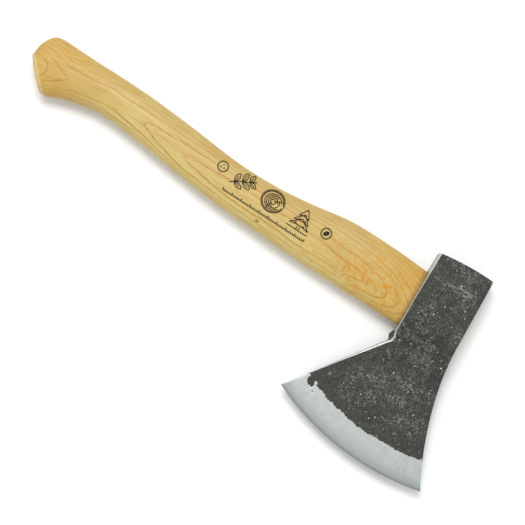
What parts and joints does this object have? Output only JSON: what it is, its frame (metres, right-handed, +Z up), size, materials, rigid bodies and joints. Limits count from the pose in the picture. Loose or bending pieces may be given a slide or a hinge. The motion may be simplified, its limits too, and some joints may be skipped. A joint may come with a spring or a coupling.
{
  "type": "carving hatchet",
  "caption": "Small hatchet with a flared, bearded forged head, a wide ground cutting edge and a curved wooden handle with a slanted butt.",
  "frame": {"origin": "on the lower cheek of the head, straight under the centre of the eye", "axes": "+X along the handle from the butt to the top of the head, +Y out of the poll so the cutting edge faces -Y, +Z up through the thickness"},
  "size_m": [0.3855, 0.1585, 0.025],
  "materials": {
    "forged_head": "matte",
    "handle_wood": "satin",
    "wedge_wood": "matte",
    "wedge_steel": "satin"
  },
  "bodies": {
    "root": {"axe_head": "forged_head", "handle": "handle_wood", "wooden_wedge": "wedge_wood", "ring_wedge": "wedge_steel"}
  },
  "joints": []
}
